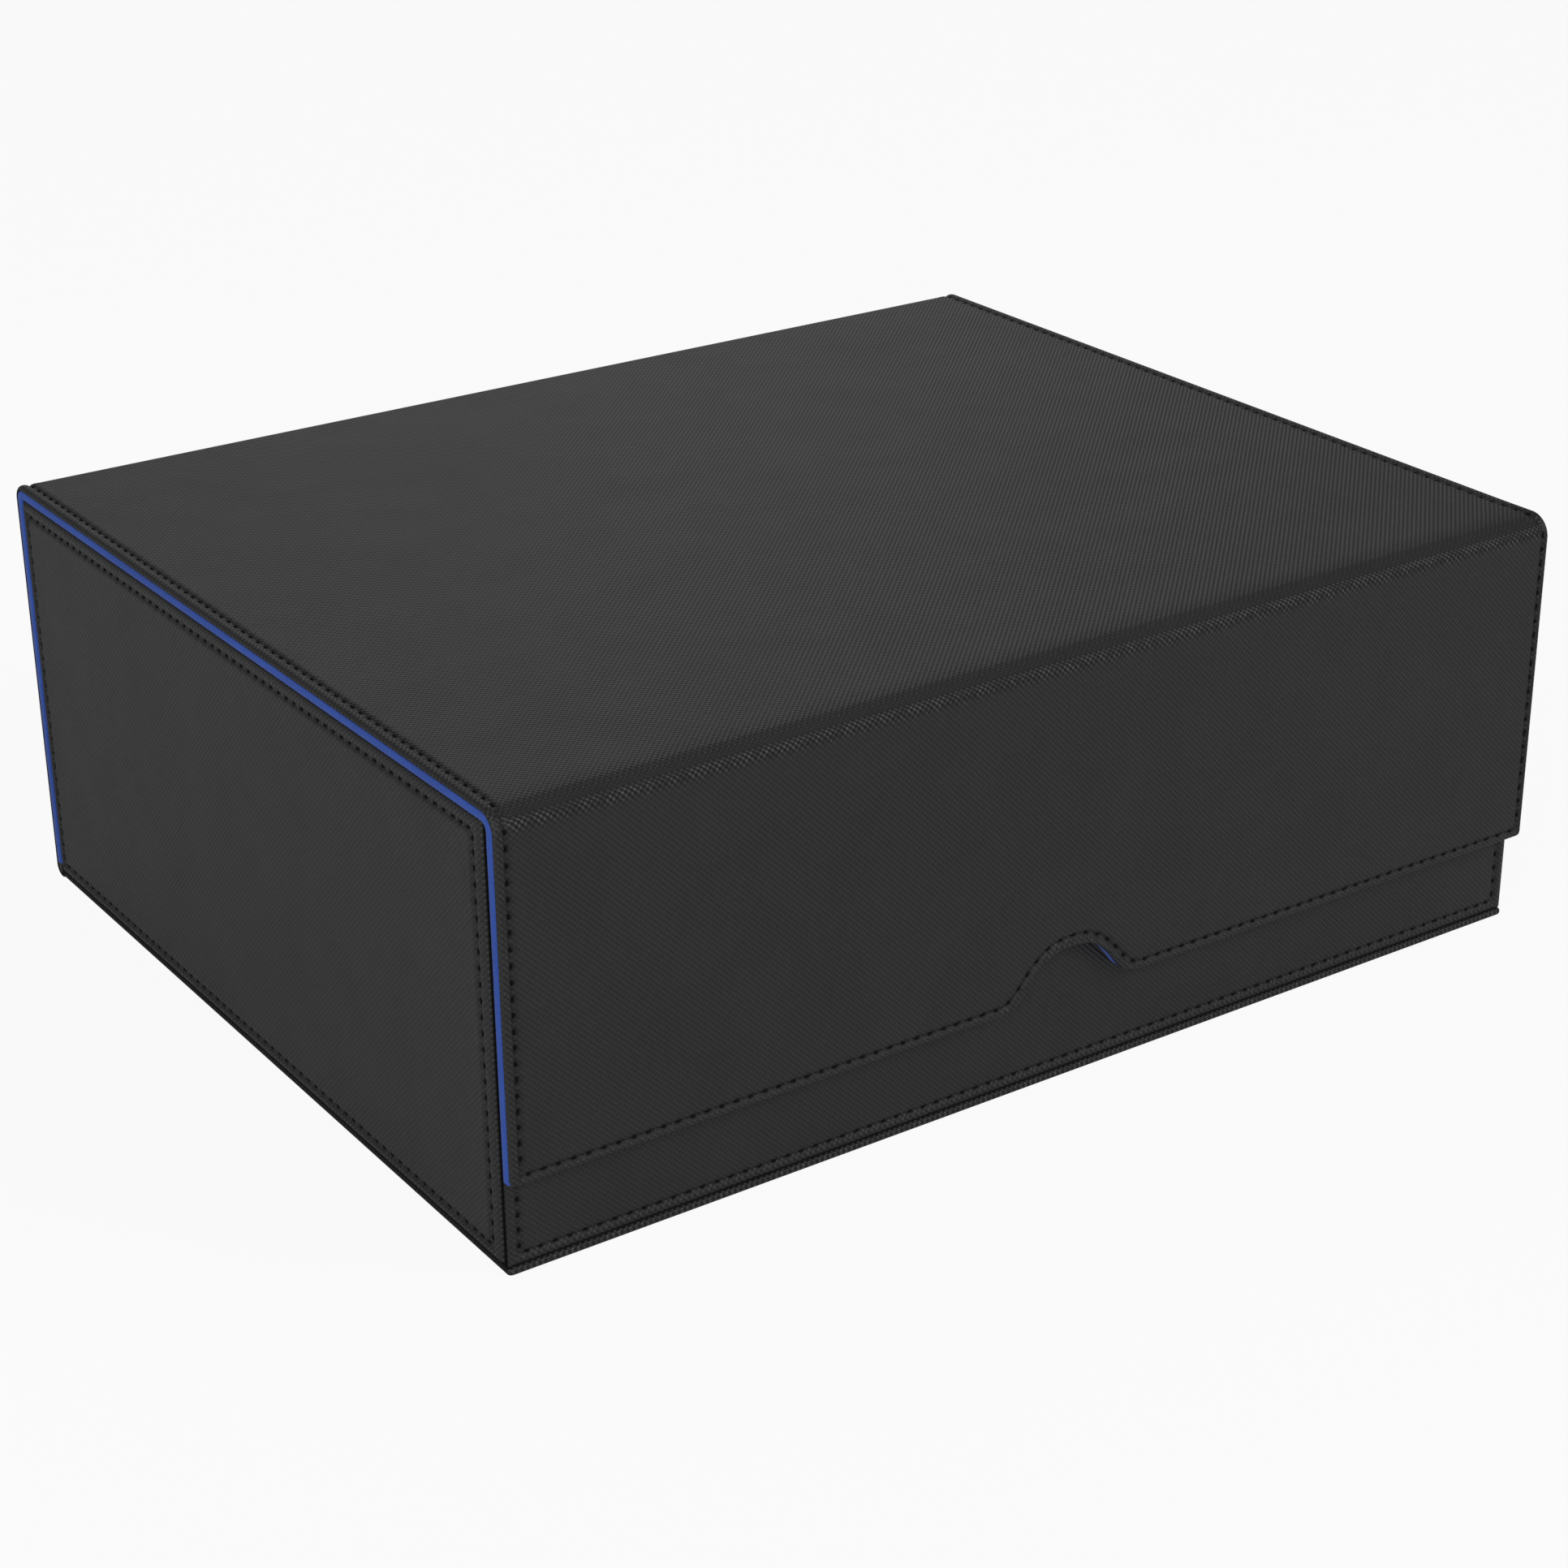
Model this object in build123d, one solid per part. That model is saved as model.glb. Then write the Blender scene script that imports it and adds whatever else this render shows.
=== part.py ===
from build123d import *
from math import hypot, pi
import os

# Card storage box for four rows of playing or trading cards. A lined tray stands on a base panel.
# One cover wraps it: a back panel glued to the tray, a lid over the top, and a flap down the
# front that magnets hold shut. X runs across the box, the front faces -Y, and +Z is up.
# The origin is the middle of the underside. Sizes are in millimetres.

# The closed box
box_width = 302.0
box_depth = 248.0
box_height = 112.0

# The cover: an embossed skin outside, and inside it a board in a turned-over fabric lining
cover_skin = 1.2
cover_board = 1.6
cover_lining = 0.6
front_fold_inner_radius = 2.1
rear_fold_inner_radius = 0.6
fold_gap = 0.3
neutral_depth = 1.0  # depth of the layer whose length stays the same as a fold bends
skin_edge_radius = 0.4
foot_height = 4.0
foot_radius = 3.0

# The flap and its thumb notch, a trapezium with rounded corners
flap_edge_height = 24.5
notch_depth = 11.5
notch_mouth_width = 35.6
notch_top_width = 17.2
notch_mouth_radius = 7.5
notch_top_radius = 5.0

# The tray's walls: skin outside and over the rim, board, and lining inside
wall_skin = 1.0
wall_board = 2.4
wall_lining = 0.7
rim_radius = 0.9
wall_corner_radius = 0.9
front_return = 1.8  # how far the front skin turns round onto each side
seam_width = 0.3

# The clearances between the tray and its cover
side_inset = 0.3
flap_gap = 0.7
lid_gap = 0.3

# The base and the floor
base_skin = 0.8
base_board = 1.1
base_inset = 0.2
base_edge_radius = 0.5
floor_board = 2.0
floor_lining = 0.7

# The magnets
magnet_radius = 6.0
magnet_thickness = 1.5
magnet_spread = 150.0
magnet_height = 14.0  # above the flap's lower edge
magnet_clearance = 0.1

# The rows, the partitions between them, and the sliding divider in each row
row_count = 4
partition_board = 1.8
partition_lining = 0.6
partition_height = 91.0
partition_edge_radius = 1.0
divider_thickness = 2.4
divider_height = 84.0
divider_corner_radius = 6.0
divider_edge_radius = 0.6
divider_clearance = 0.5
divider_park_gap = 0.3
divider_floor_gap = 0.3

touching = 0.001  # closer than this, two places are the same

# Worked out: the cover
cover_thickness = cover_skin + cover_board + cover_lining
front_fold_radius = front_fold_inner_radius + cover_thickness
rear_fold_radius = rear_fold_inner_radius + cover_thickness
box_front = -box_depth / 2
box_back = box_depth / 2

# A strip that straightens out of a quarter bend turns about a point just inside the bend's
# neutral layer. The pieces either side of a fold meet on a round face about that point, and
# the face's radius, the fold's reach, takes in the whole bend.
quarter_bend_shift = 1 - pi / 4


def pivot_depth(fold_radius):
    """Depth of a fold's turning point below the cover's two outer faces."""
    return neutral_depth + quarter_bend_shift * (fold_radius - neutral_depth)


front_pivot_depth = pivot_depth(front_fold_radius)
rear_pivot_depth = pivot_depth(rear_fold_radius)
front_pivot = (box_front + front_pivot_depth, box_height - front_pivot_depth)
rear_pivot = (box_back - rear_pivot_depth, box_height - rear_pivot_depth)
front_reach = hypot(front_fold_radius - front_pivot_depth, front_pivot_depth)
rear_reach = hypot(rear_fold_radius - rear_pivot_depth, rear_pivot_depth)

# Worked out: the tray
tray_side = box_width / 2 - side_inset
tray_front = box_front + cover_thickness + flap_gap
tray_back = box_back - cover_thickness
rim_height = box_height - cover_thickness - lid_gap
front_rim_radius = front_fold_inner_radius - lid_gap  # each follows the fold above it
rear_rim_radius = rear_fold_inner_radius
board_top = rim_height - wall_skin
base_top = base_skin + base_board
floor_board_top = base_top + floor_board
floor_top = floor_board_top + floor_lining
board_side = tray_side - wall_skin  # outer face of a side wall's board
lining_side = board_side - wall_board  # inner face of that board
inner_side = lining_side - wall_lining
front_board_face = tray_front + wall_skin
front_board_back = front_board_face + wall_board
inner_front = front_board_back + wall_lining
rear_board_front = tray_back - wall_board
inner_back = rear_board_front - wall_lining

# Worked out: the rows
partition_thickness = partition_board + 2 * partition_lining
row_width = (2 * inner_side - (row_count - 1) * partition_thickness) / row_count
row_pitch = row_width + partition_thickness
partition_top = floor_top + partition_height


def block(x_range, y_range, z_range):
    """A box between the given lowest and highest places along each axis."""
    ranges = (x_range, y_range, z_range)
    middle = [(low + high) / 2 for low, high in ranges]
    size = [high - low for low, high in ranges]
    return Pos(*middle) * Box(*size)


def across(half_width, y_range, z_range):
    """A box centred on the box's middle plane."""
    return block((-half_width, half_width), y_range, z_range)


def pair(piece):
    """A piece and its mirror image on the other side of the box."""
    return piece, mirror(piece, Plane.YZ)


def side_area(y_range, z_range):
    """A rectangle in the side view, where the sketch's x is Y and its y is Z."""
    (front, back), (bottom, top) = y_range, z_range
    return Pos((front + back) / 2, (bottom + top) / 2) * Rectangle(back - front, top - bottom)


def side_disc(centre, radius):
    """A disc in the side view."""
    return Pos(*centre) * Circle(radius)


def sweep_across(side_view):
    """A solid of the side view's shape, as wide as the box."""
    return extrude(Plane.YZ * side_view, amount=box_width / 2, both=True)


def cover_area(depth):
    """Side view of all that lies deeper than this below the cover's outer face."""
    front, back, top = box_front + depth, box_back - depth, box_height - depth
    area = make_face(Polyline((front, 0), (front, top), (back, top), (back, 0), close=True))
    front_corner = area.vertices().group_by(Axis.Y)[-1].sort_by(Axis.X)[0]
    area = fillet(front_corner, radius=front_fold_radius - depth)
    rear_corner = area.vertices().group_by(Axis.Y)[-1].sort_by(Axis.X)[-1]
    return fillet(rear_corner, radius=rear_fold_radius - depth)


skin_layer = cover_area(0) - cover_area(cover_skin)
lining_layer = cover_area(cover_skin) - cover_area(cover_thickness)


def back_share(layer, bottom):
    """The part of a layer that stays with the tray: the back panel and the rear fold."""
    panel = side_area((tray_back, box_back), (bottom, rear_pivot[1]))
    fold = side_area((rear_pivot[0], box_back), (rear_pivot[1], box_height))
    return layer & (panel + fold + side_disc(rear_pivot, rear_reach))


def lid_share(layer):
    """The part of a layer that moves with the lid: the lid and the front fold."""
    lid = side_area((front_pivot[0], rear_pivot[0]), (box_height - cover_thickness, box_height))
    fold = side_area((box_front, front_pivot[0]), (front_pivot[1], box_height))
    share = layer & (lid + fold + side_disc(front_pivot, front_reach))
    return share - side_disc(rear_pivot, rear_reach + fold_gap)


def flap_share(layer):
    """The part of a layer that moves with the flap."""
    back_face = box_front + cover_thickness
    panel = side_area((box_front, back_face), (flap_edge_height, front_pivot[1]))
    return (layer & panel) - side_disc(front_pivot, front_reach + fold_gap)


def notch_cut(growth):
    """A cutter for the thumb notch, larger all round by the growth."""
    mouth, top = notch_mouth_width / 2, notch_top_width / 2
    below = flap_edge_height - notch_depth
    wide = box_width / 4
    outline = Polyline(
        (-wide, below),
        (-wide, flap_edge_height),
        (-mouth, flap_edge_height),
        (-top, flap_edge_height + notch_depth),
        (top, flap_edge_height + notch_depth),
        (mouth, flap_edge_height),
        (wide, flap_edge_height),
        (wide, below),
        close=True,
    )
    area = make_face(outline)
    mouth_corners = [v for v in area.vertices() if abs(abs(v.X) - mouth) < touching]
    area = fillet(mouth_corners, radius=notch_mouth_radius)
    top_corners = area.vertices().group_by(Axis.Y)[-1]
    area = fillet(top_corners, radius=notch_top_radius)
    if growth:
        area = offset(area, amount=growth)
    return extrude(Plane.XZ * area, amount=box_depth, both=True)


def magnets(face, thickness, radius=magnet_radius):
    """A pair of discs whose front faces lie in the given plane across Y."""
    height = flap_edge_height + magnet_height
    place = Pos(magnet_spread / 2, face + thickness / 2, height) * Rot(90, 0, 0)
    return Compound(children=list(pair(place * Cylinder(radius, thickness))))


def soften_cut_edges(skin):
    """Round the edges of a skin's outer face along the cover's two cut sides."""
    outline = (Plane.YZ * cover_area(0)).face().outer_wire()
    edges = []
    for edge in skin.edges():
        middle = edge.position_at(0.5)
        at_side = abs(abs(middle.X) - box_width / 2) < touching
        if at_side and outline.distance_to(Vertex(0, middle.Y, middle.Z)) < touching:
            edges.append(edge)
    return fillet(edges, radius=skin_edge_radius)


def tray_outline():
    """The tray's side view, whose rim is rounded at both ends to clear the folds."""
    outline = side_area((tray_front, tray_back), (base_top, rim_height))
    front_corner = outline.vertices().group_by(Axis.Y)[-1].sort_by(Axis.X)[0]
    outline = fillet(front_corner, radius=front_rim_radius)
    rear_corner = outline.vertices().group_by(Axis.Y)[-1].sort_by(Axis.X)[-1]
    return sweep_across(fillet(rear_corner, radius=rear_rim_radius))


def base():
    """The base panel: a board in a skin that is turned up round its edges."""
    side, front = tray_side - base_inset, tray_front + base_inset
    skin = across(side, (front, tray_back), (0, base_top))
    bottom_edges = skin.faces().sort_by(Axis.Z)[0].edges()
    back_edge = bottom_edges.sort_by(Axis.Y)[-1]
    skin = fillet([e for e in bottom_edges if e != back_edge], radius=base_edge_radius)
    board = across(side - base_skin, (front + base_skin, tray_back), (base_skin, base_top))
    return {"base_skin": skin - board, "base_board": board}


def floor():
    """The tray's floor board, and the lining that lies on it between the wall linings."""
    board = across(lining_side, (front_board_back, rear_board_front), (base_top, floor_board_top))
    lining = across(inner_side, (inner_front, inner_back), (floor_board_top, floor_top))
    return {"floor_board": board, "floor_lining": lining}


def side_walls():
    """The left and right walls: board, lining, and a skin that runs over the rim."""
    board_y = (front_board_face, tray_back)
    board = block((lining_side, board_side), board_y, (base_top, board_top))
    lining_y = (front_board_back, rear_board_front)
    lining = block((inner_side, lining_side), lining_y, (floor_board_top, board_top))
    skin_y = (tray_front + front_return + seam_width, tray_back)
    skin = block((board_side, tray_side), skin_y, (base_top, rim_height))
    skin += block((inner_side, tray_side), skin_y, (board_top, rim_height))
    rim_edges = skin.faces().sort_by(Axis.Z)[-1].edges().filter_by(Axis.Y)
    skin = fillet(rim_edges, radius=rim_radius) & tray_outline()
    nodes = {}
    for name, piece in (("board", board), ("lining", lining), ("skin", skin)):
        right, left = pair(piece)
        nodes[f"right_wall_{name}"] = right
        nodes[f"left_wall_{name}"] = left
    return nodes


def front_wall():
    """The front wall, whose skin turns round both corners, with its two magnets let in."""
    board_y = (front_board_face, front_board_back)
    board = across(lining_side, board_y, (base_top, board_top))
    board -= magnets(front_board_face, magnet_thickness, magnet_radius + magnet_clearance)
    lining = across(inner_side, (front_board_back, inner_front), (floor_board_top, board_top))
    panel = across(tray_side, (tray_front, tray_front + front_return), (base_top, rim_height))
    corner_edges = panel.edges().filter_by(Axis.Z).group_by(Axis.Y)[0]
    panel = fillet(corner_edges, radius=wall_corner_radius)
    rim = across(inner_side, (tray_front, inner_front), (board_top, rim_height))
    skin = (panel + rim) & tray_outline()
    skin -= across(board_side, (front_board_face, inner_front), (base_top, board_top))
    return {
        "front_wall_board": board,
        "front_wall_lining": lining,
        "front_wall_skin": skin,
        "front_wall_magnets": magnets(front_board_face, magnet_thickness),
    }


def rear_wall():
    """The rear wall, whose lining runs over its rim to the cover's back panel."""
    board = across(lining_side, (rear_board_front, tray_back), (base_top, board_top))
    lining = across(inner_side, (inner_back, rear_board_front), (floor_board_top, rim_height))
    lining += across(inner_side, (inner_back, tray_back), (board_top, rim_height))
    lining &= tray_outline()
    return {"rear_wall_board": board, "rear_wall_lining": lining}


def partitions():
    """The boards between the rows, each in a folded sleeve of lining."""
    nodes = {}
    ends = (inner_front, inner_back)
    for number in range(1, row_count):
        middle = -inner_side + number * row_pitch - partition_thickness / 2
        half, core = partition_thickness / 2, partition_board / 2
        sleeve = block((middle - half, middle + half), ends, (floor_top, partition_top))
        top_edges = sleeve.faces().sort_by(Axis.Z)[-1].edges().filter_by(Axis.Y)
        sleeve = fillet(top_edges, radius=partition_edge_radius)
        board_z = (floor_top, partition_top - partition_lining)
        board = block((middle - core, middle + core), ends, board_z)
        nodes[f"partition_{number}_board"] = board
        nodes[f"partition_{number}_lining"] = sleeve - board
    return nodes


def dividers():
    """A fabric-covered board in each row, parked against the front wall."""
    nodes = {}
    front = inner_front + divider_park_gap
    half = row_width / 2 - divider_clearance
    bottom = floor_top + divider_floor_gap
    thickness = (front, front + divider_thickness)
    for number in range(row_count):
        middle = -inner_side + row_width / 2 + number * row_pitch
        plate = block((middle - half, middle + half), thickness, (bottom, bottom + divider_height))
        corners = plate.edges().filter_by(Axis.Y).group_by(Axis.Z)[-1]
        plate = fillet(corners, radius=divider_corner_radius)
        rim = plate.faces().sort_by(Axis.Y)[0].edges() + plate.faces().sort_by(Axis.Y)[-1].edges()
        nodes[f"card_divider_{number + 1}"] = fillet(rim, radius=divider_edge_radius)
    return nodes


def back_panel():
    """The cover's back panel with the rear fold, and the skin turned in round its foot."""
    foot = side_area((tray_back, box_back), (0, foot_height))
    outer_corner = foot.vertices().sort_by(Axis.Y)[:2].sort_by(Axis.X)[-1]
    foot = fillet(outer_corner, radius=foot_radius)
    skin = soften_cut_edges(sweep_across(back_share(skin_layer, foot_height) + foot))
    board = across(
        box_width / 2 - cover_lining,
        (box_back - cover_skin - cover_board, box_back - cover_skin),
        (foot_height + cover_lining, box_height - rear_fold_radius),
    )
    lining = sweep_across(back_share(lining_layer, foot_height)) - board
    return {"back_panel_skin": skin, "back_panel_board": board, "back_panel_lining": lining}


def lid():
    """The lid and the front fold."""
    skin = soften_cut_edges(sweep_across(lid_share(skin_layer)))
    board = across(
        box_width / 2 - cover_lining,
        (box_front + front_fold_radius, rear_pivot[0] - rear_reach - fold_gap - cover_lining),
        (box_height - cover_skin - cover_board, box_height - cover_skin),
    )
    lining = sweep_across(lid_share(lining_layer)) - board
    return {"lid_skin": skin, "lid_board": board, "lid_lining": lining}


def flap():
    """The front flap with its thumb notch, and its two magnets let into its board."""
    notch = notch_cut(0)
    skin = sweep_across(flap_share(skin_layer)) - notch
    outer = skin.faces().sort_by(Axis.Y)[0]
    rim = [e for e in outer.edges() if e != outer.edges().sort_by(Axis.Z)[-1]]
    skin = fillet(rim, radius=skin_edge_radius)
    board_face = box_front + cover_skin
    board = across(
        box_width / 2 - cover_lining,
        (board_face, board_face + cover_board),
        (flap_edge_height + cover_lining, front_pivot[1] - front_reach - fold_gap - cover_lining),
    )
    board -= notch_cut(cover_lining)
    lining = sweep_across(flap_share(lining_layer)) - notch - board
    board -= magnets(board_face, cover_board, magnet_radius + magnet_clearance)
    return {
        "flap_skin": skin,
        "flap_board": board,
        "flap_lining": lining,
        "flap_magnets": magnets(board_face, magnet_thickness),
    }


nodes = {}
for make in (base, floor, side_walls, front_wall, rear_wall, partitions, dividers):
    nodes.update(make())
for make in (back_panel, lid, flap):
    nodes.update(make())

os.makedirs("parts", exist_ok=True)
for name, piece in nodes.items():
    export_step(piece, f"parts/{name}.step")
print(len(nodes), "pieces; row width", round(row_width, 2), "mm; inner depth",
      round(inner_back - inner_front, 2), "mm")
print("front pivot", [round(v, 4) for v in front_pivot],
      "rear pivot", [round(v, 4) for v in rear_pivot])
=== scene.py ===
import bpy
import bmesh
from math import cos, exp, pi, radians, sin
from mathutils import Matrix, Vector
from mathutils.kdtree import KDTree
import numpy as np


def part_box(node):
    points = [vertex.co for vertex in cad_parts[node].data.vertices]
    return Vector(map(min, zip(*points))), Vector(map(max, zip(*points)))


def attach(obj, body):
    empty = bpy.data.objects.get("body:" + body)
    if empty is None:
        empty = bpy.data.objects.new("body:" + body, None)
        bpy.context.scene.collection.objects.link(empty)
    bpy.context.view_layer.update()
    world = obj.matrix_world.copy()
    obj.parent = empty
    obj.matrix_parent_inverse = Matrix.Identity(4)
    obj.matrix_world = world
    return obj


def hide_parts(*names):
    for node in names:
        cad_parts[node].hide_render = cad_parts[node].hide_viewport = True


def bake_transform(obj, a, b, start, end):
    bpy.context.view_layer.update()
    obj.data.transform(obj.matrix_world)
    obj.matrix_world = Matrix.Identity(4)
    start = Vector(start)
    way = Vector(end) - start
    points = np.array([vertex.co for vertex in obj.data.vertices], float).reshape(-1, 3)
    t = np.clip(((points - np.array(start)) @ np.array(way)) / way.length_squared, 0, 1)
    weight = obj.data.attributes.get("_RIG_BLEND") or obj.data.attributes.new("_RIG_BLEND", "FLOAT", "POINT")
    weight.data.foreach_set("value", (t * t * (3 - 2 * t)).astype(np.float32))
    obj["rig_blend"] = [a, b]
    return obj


# Card storage box: black embossed leather outside, blue microfibre inside, stitched all round.
# Sheets are cut and padded flat, with u across the box, w along the wrap and h above the outer
# face, and are then laid round the box. Lengths are in millimetres until a piece is finished.

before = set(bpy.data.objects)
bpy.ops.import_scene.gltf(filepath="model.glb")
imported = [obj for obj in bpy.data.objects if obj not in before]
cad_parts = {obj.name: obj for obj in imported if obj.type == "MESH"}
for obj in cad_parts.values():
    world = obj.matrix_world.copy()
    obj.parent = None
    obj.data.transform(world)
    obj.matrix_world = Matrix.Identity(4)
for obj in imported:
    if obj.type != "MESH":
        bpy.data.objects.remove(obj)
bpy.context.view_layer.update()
mm = 0.001

# The closed box and its cover, as in the part's source
box_width, box_depth, box_height = 302.0, 248.0, 112.0
cover_skin, cover_thickness = 1.2, 3.4
front_fold_radius, rear_fold_radius, foot_radius, foot_height = 5.5, 4.0, 3.0, 4.0
flap_edge_height = 24.5
notch_middle, notch_depth = 1.5, 11.7
notch_controls = ((26.0, 0), (16.8, 0), (8.2, 11.0))  # reach and height of one side of its curve
front_pivot, rear_pivot = (-122.0343, 110.0343), (122.3562, 110.3562)

# The tray
tray_side, tray_front, tray_back, base_inset = 150.7, -119.9, 120.6, 0.3
rim_height, base_top = 108.3, 1.9
inner_side = 146.6
corner_seam, rim_radius = -117.55, 0.9  # the side panels start at the seam beside the front panel

# Stitching and emboss
stitch_pitch = 3.84
stitch_size = (1.3, 0.62, 0.6)  # length, width and height of one visible stitch
cover_stitch_inset, panel_stitch_inset = 2.4, 2.7
dimple_depth, dimple_reach = 0.16, 0.9  # how far a stitch draws the leather in, and how widely
dimple_spacing = stitch_pitch / 6  # length of the facets that are pressed
highlight_heights, seam_depths = (0.04, 0.42), (0.8, 1.0)  # where painted highlight on raised leather and painted shade in seams begin and are full
stitch_shade = 0.4  # how dark the leather is beside a stitch, where 1 is as dark as in a seam
weave_period = 1.5  # two threads of the embossed weave
rib_share, gap_share = 0.7, 0.45  # how far its diagonal ribs, and the gaps across them, are pressed

half_width, half_depth = box_width / 2, box_depth / 2

# Places along the wrap, on the outer face. Zero is the middle of the lid.
lid_front = front_fold_radius - half_depth
flap_top = lid_front - front_fold_radius * pi / 2
flap_end = flap_top - (box_height - front_fold_radius - flap_edge_height)
lid_back = half_depth - rear_fold_radius
back_top = lid_back + rear_fold_radius * pi / 2
foot_top = back_top + box_height - rear_fold_radius - foot_radius
foot_end = foot_top + foot_radius * pi / 2
sheet_end = foot_end + half_depth - foot_radius - tray_back


def cover_place(u, w, h):
    """Where a point of the flat cover lies on the closed box."""
    if w < flap_top:
        return Vector((u, -half_depth - h, box_height - front_fold_radius + w - flap_top))
    if w < lid_front:
        turn, radius = (lid_front - w) / front_fold_radius, front_fold_radius + h
        return Vector((u, lid_front - radius * sin(turn),
                       box_height - front_fold_radius + radius * cos(turn)))
    if w <= lid_back:
        return Vector((u, w, box_height + h))
    if w <= back_top:
        turn, radius = (w - lid_back) / rear_fold_radius, rear_fold_radius + h
        return Vector((u, lid_back + radius * sin(turn),
                       box_height - rear_fold_radius + radius * cos(turn)))
    if w <= foot_top:
        return Vector((u, half_depth + h, box_height - rear_fold_radius + back_top - w))
    turn, radius = min((w - foot_top) / foot_radius, pi / 2), foot_radius + h
    return Vector((u, half_depth - foot_radius + radius * cos(turn) - max(w - foot_end, 0),
                   foot_radius - radius * sin(turn)))


def lining_place(u, w, h):
    """The same for the cover's lining, whose own height is measured inwards from its face."""
    return cover_place(u, w, -cover_thickness - h)


def flat_place(origin, across, up):
    """Where a point of a flat sheet lies, from the sheet's origin and its u and w directions."""
    origin, across, up = Vector(origin), Vector(across), Vector(up)
    out = across.cross(up)
    return lambda u, w, h: origin + across * u + up * w + out * h


left_place = flat_place((-tray_side, 0, 0), (0, -1, 0), (0, 0, 1))
right_place = flat_place((tray_side, 0, 0), (0, 1, 0), (0, 0, 1))
front_place = flat_place((0, tray_front, 0), (1, 0, 0), (0, 0, 1))
base_place = flat_place((0, 0, 0), (1, 0, 0), (0, -1, 0))


# Sections of the rolled edges, as steps of distance from the edge and height
cover_roll = [(0, -0.55), (0.08, -0.3), (0.24, -0.06), (0.5, 0.12), (0.85, 0.22), (1.25, 0.2),
              (1.6, 0.08), (1.9, -0.14), (2.15, -0.33), (2.4, -0.42), (2.65, -0.33), (2.95, -0.14),
              (3.3, 0.0), (3.8, 0.05), (4.6, 0.03), (5.6, 0.0)]
lining_roll = [(0, -0.42), (0.06, -0.22), (0.2, -0.08), (0.5, 0.0), (1.2, 0.04), (1.7, 0.0),
               (2.1, -0.1), (2.4, -0.14), (2.7, -0.1), (3.1, 0.0), (3.8, 0.0), (5.0, 0.0)]
panel_roll = [(0, -0.9), (0.12, -0.46), (0.4, -0.12), (0.8, 0.08), (1.25, 0.18), (1.7, 0.13),
              (2.1, -0.1), (2.4, -0.32), (2.7, -0.42), (3.0, -0.32), (3.35, -0.1), (3.8, 0.02),
              (4.6, 0.03), (5.6, 0.0)]
base_roll = [(0, -0.95), (0.07, -0.55), (0.25, -0.22), (0.6, -0.04), (1.1, 0.0)]
cloth_roll = [(0, -0.45), (0.06, -0.24), (0.2, -0.08), (0.45, 0.0), (0.9, 0.03), (1.8, 0.0)]
divider_roll = [(0, -0.75), (0.08, -0.42), (0.3, -0.14), (0.7, 0.0), (1.5, 0.03), (2.1, -0.06),
                (2.5, -0.2), (2.7, -0.25), (2.9, -0.2), (3.3, -0.06), (3.9, 0.0), (5.0, 0.0)]
partition_roll = [(0, -1.4), (0.1, -0.9), (0.32, -0.48), (0.75, -0.14), (1.4, 0.0), (2.4, 0.04),
                  (4.0, 0.0)]
base_lip = [(0, -0.95), (0.07, -1.32), (0.25, -1.62), (0.6, -1.8), (1.6, -1.84)]


def ease(value, low, high):
    """A smooth step from 0 at low to 1 at high."""
    part = min(max((value - low) / (high - low), 0), 1)
    return part * part * (3 - 2 * part)


def hill(distance, before, beyond):
    """A smooth hill of height 1, with one width before its top and another beyond it."""
    return exp(-(distance / (beyond if distance > 0 else before)) ** 2)


def with_row(reach, inset, fade):
    """How much a point moves with a sewn line: not at the edge, fully on the line, not at fade."""
    return reach / inset if reach < inset else 1 - ease(reach, inset, fade)


def outline(bm, corners, height):
    """One flat face through the given corners."""
    face = bm.faces.new([bm.verts.new((u, w, height)) for u, w in corners])
    face.normal_update()
    return face


def rounded(bm, corners, radius, segments):
    """Round some corners of a flat sheet, and give back the face that they now belong to."""
    before = set(bm.faces)
    bmesh.ops.bevel(bm, geom=corners, offset=radius, offset_type="OFFSET", segments=segments,
                    profile=0.5, affect="VERTICES", material=-1)
    return next(face for face in bm.faces if face not in before)


def softened(points, steps):
    """A smooth curve that touches the middle of every stretch between the given points."""
    curve = []
    for first, corner, last in zip(points, points[1:], points[2:]):
        first, corner, last = Vector(first), Vector(corner), Vector(last)
        start, end = (first + corner) / 2, (corner + last) / 2
        for k in range(steps):
            part = k / steps
            curve.append(start.lerp(corner, part).lerp(corner.lerp(end, part), part))
    return curve + [end]


def roll_edge(bm, face, roll):
    """Step the face inwards and up and down, so that its edge is rolled and grooved."""
    last_inset, last_height = roll[0]
    for inset, height in roll[1:]:
        bmesh.ops.inset_region(bm, faces=[face], thickness=inset - last_inset,
                               use_boundary=True, use_even_offset=True)
        bmesh.ops.translate(bm, verts=face.verts[:], vec=(0, 0, height - last_height))
        last_inset, last_height = inset, height
    return face


def cut_sectors(bm, edges, rows, spacing):
    """Cut the rolled edge across at even steps, so that the stitches can dimple it."""
    for edge in edges:
        cuts = round(edge.calc_length() / spacing) - 1
        if cuts < 1:
            continue
        run, face = [edge], edge.link_faces[0]
        for _ in range(rows):
            loop = next(l for l in face.loops if l.edge is run[-1])
            run.append(loop.link_loop_next.link_loop_next.edge)
            face = next((f for f in run[-1].link_faces if f is not face), None)
        bmesh.ops.subdivide_edges(bm, edges=run, cuts=cuts)


def cut_lines(bm, places, axis=1):
    """Cut the sheet right across at each of the places."""
    for place in places:
        spot, normal = Vector((0, 0, 0)), Vector((0, 0, 0))
        spot[axis], normal[axis] = place, 1
        bmesh.ops.bisect_plane(bm, geom=bm.verts[:] + bm.edges[:] + bm.faces[:], dist=1e-4,
                               plane_co=spot, plane_no=normal)


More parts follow.
